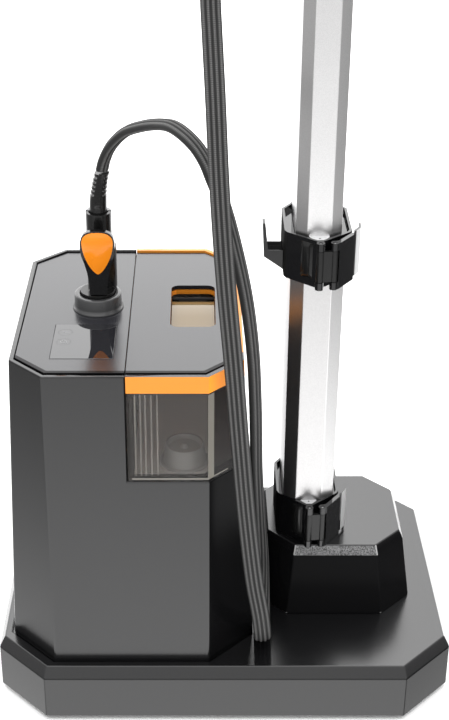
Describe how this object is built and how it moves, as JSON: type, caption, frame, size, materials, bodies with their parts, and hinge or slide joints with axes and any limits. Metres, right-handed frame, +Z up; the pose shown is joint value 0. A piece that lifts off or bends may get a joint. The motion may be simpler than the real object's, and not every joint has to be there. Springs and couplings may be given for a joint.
{
  "type": "garment steamer",
  "caption": "Floor-standing garment steamer: eight-sided casing with lift-out tank, braided hose, telescopic pole with toggle clamps, hook, folding hanger and handset",
  "frame": {"origin": "on the floor under the centre of the base", "axes": "+Z up, front of the steamer faces -Y, +X to the right of someone facing it"},
  "size_m": [0.462, 0.3356, 0.975],
  "materials": {
    "base_plastic": "fine-grained black moulding",
    "casing_plastic": "satin dark grey moulding",
    "deck_plastic": "satin grey sheet-like top plate",
    "gloss_black": "polished black",
    "rubber_black": "matt black rubber",
    "orange_plastic": "flat bright orange",
    "clear_plastic": "smoky clear moulding",
    "silver_aluminium": "fine-grained satin silver",
    "cast_aluminium": "die-cast, unpolished",
    "steel": "plain steel",
    "brass": "drawn tube",
    "grey_plastic": "plain grey moulding",
    "circuit_board": "green laminate",
    "braided_hose": "black braided sleeve with lengthwise ribs"
  },
  "bodies": {
    "base": {"base_cover": "base_plastic", "base_pan": "base_plastic", "pedestal_cover": "base_plastic", "ballast_plate": "steel", "foot_front_left": "rubber_black", "foot_front_middle": "rubber_black", "foot_front_right": "rubber_black", "foot_rear_left": "rubber_black", "foot_rear_right": "rubber_black", "body_casing": "casing_plastic", "mains_cable_gland": "rubber_black", "control_deck": "deck_plastic", "control_panel": "gloss_black", "control_board": "circuit_board", "outlet_collar": "casing_plastic", "tank_seat_valve": "rubber_black", "steam_boiler": "cast_aluminium", "water_pump": "grey_plastic", "steam_pipe": "brass", "tank_feed_pipe": "grey_plastic", "boiler_feed_pipe": "grey_plastic", "hose_connector": "gloss_black", "release_lever_pin": "steel", "hose_strain_relief": "rubber_black", "pole_lower_tube": "silver_aluminium", "steam_hose": "braided_hose", "hose_hook": "gloss_black", "foot_clamp_band": "gloss_black", "foot_clamp_link_pin": "steel", "height_clamp_band": "gloss_black", "height_clamp_link_pin": "steel"},
    "tank": {"tank_shell": "clear_plastic", "tank_valve": "grey_plastic", "tank_rim": "orange_plastic", "tank_lid": "deck_plastic", "filler_flap_pin": "steel"},
    "filler": {"filler_flap": "clear_plastic"},
    "power_key": {"power_button": "gloss_black"},
    "steam_key": {"steam_button": "gloss_black"},
    "connector_lever": {"release_lever": "gloss_black", "release_lever_inlay": "orange_plastic"},
    "foot_link": {"foot_clamp_link": "gloss_black"},
    "foot_lever": {"foot_clamp_lever": "gloss_black", "foot_clamp_lever_pin": "steel"},
    "height_link": {"height_clamp_link": "gloss_black"},
    "height_lever": {"height_clamp_lever": "gloss_black", "height_clamp_lever_pin": "steel"},
    "pole": {"pole_upper_tube": "silver_aluminium", "pole_head": "gloss_black", "handset_cradle": "gloss_black", "hanger_pin_left": "steel", "hanger_pin_right": "steel", "hose_end_swivel": "rubber_black"},
    "arm_left": {"hanger_arm_left": "casing_plastic"},
    "arm_right": {"hanger_arm_right": "casing_plastic"},
    "handset": {"handset_body": "casing_plastic", "steam_plate": "steel"},
    "trigger": {"steam_trigger": "orange_plastic"}
  },
  "joints": [
    {"name": "tank_lift", "type": "slide", "parent": "base", "child": "tank", "axis": [0, 0, 1], "range_m": [0, 0.06]},
    {"name": "filler_flap_hinge", "type": "hinge", "parent": "tank", "child": "filler", "pos_m": [-0.03225, 0.039, 0.3715], "axis": [-1, 0, 0], "range_deg": [0, 80]},
    {"name": "power_press", "type": "slide", "parent": "base", "child": "power_key", "axis": [0, 0, -1], "range_m": [0, 0.001], "stiffness_N_per_m": 800},
    {"name": "steam_press", "type": "slide", "parent": "base", "child": "steam_key", "axis": [0, 0, -1], "range_m": [0, 0.001], "stiffness_N_per_m": 800},
    {"name": "release_lever_hinge", "type": "hinge", "parent": "base", "child": "connector_lever", "pos_m": [-0.124, -0.0065, 0.434], "axis": [-1, 0, 0], "range_deg": [0, 8], "stiffness_Nm_per_rad": 0.6},
    {"name": "foot_link_hinge", "type": "hinge", "parent": "base", "child": "foot_link", "pos_m": [0.0857, -0.0674, 0.166], "axis": [0, 0, -1], "range_deg": [0, 20]},
    {"name": "foot_lever_hinge", "type": "hinge", "parent": "foot_link", "child": "foot_lever", "pos_m": [0.099, -0.066, 0.166], "axis": [0, 0, -1], "range_deg": [0, 100]},
    {"name": "height_link_hinge", "type": "hinge", "parent": "base", "child": "height_link", "pos_m": [0.0857, -0.0674, 0.4575], "axis": [0, 0, -1], "range_deg": [0, 20]},
    {"name": "height_lever_hinge", "type": "hinge", "parent": "height_link", "child": "height_lever", "pos_m": [0.099, -0.066, 0.4575], "axis": [0, 0, -1], "range_deg": [0, 100]},
    {"name": "pole_slide", "type": "slide", "parent": "base", "child": "pole", "axis": [0, 0, 1], "range_m": [0, 0.24]},
    {"name": "hanger_left_hinge", "type": "hinge", "parent": "pole", "child": "arm_left", "pos_m": [0.0677, -0.0103, 0.863], "axis": [0, -1, 0], "range_deg": [0, 75]},
    {"name": "hanger_right_hinge", "type": "hinge", "parent": "pole", "child": "arm_right", "pos_m": [0.1037, -0.0103, 0.863], "axis": [0, 1, 0], "range_deg": [0, 75]},
    {"name": "handset_tip", "type": "hinge", "parent": "pole", "child": "handset", "pos_m": [-0.017, -0.097, 0.742], "axis": [1, 0, 0], "range_deg": [0, 25]},
    {"name": "trigger_pull", "type": "slide", "parent": "handset", "child": "trigger", "axis": [0, 1, 0], "range_m": [0, 0.003], "stiffness_N_per_m": 500}
  ],
  "couplings": [
    {"joint": "foot_link_hinge", "follows": "foot_lever_hinge", "ratio": 0.2},
    {"joint": "height_link_hinge", "follows": "height_lever_hinge", "ratio": 0.2}
  ]
}
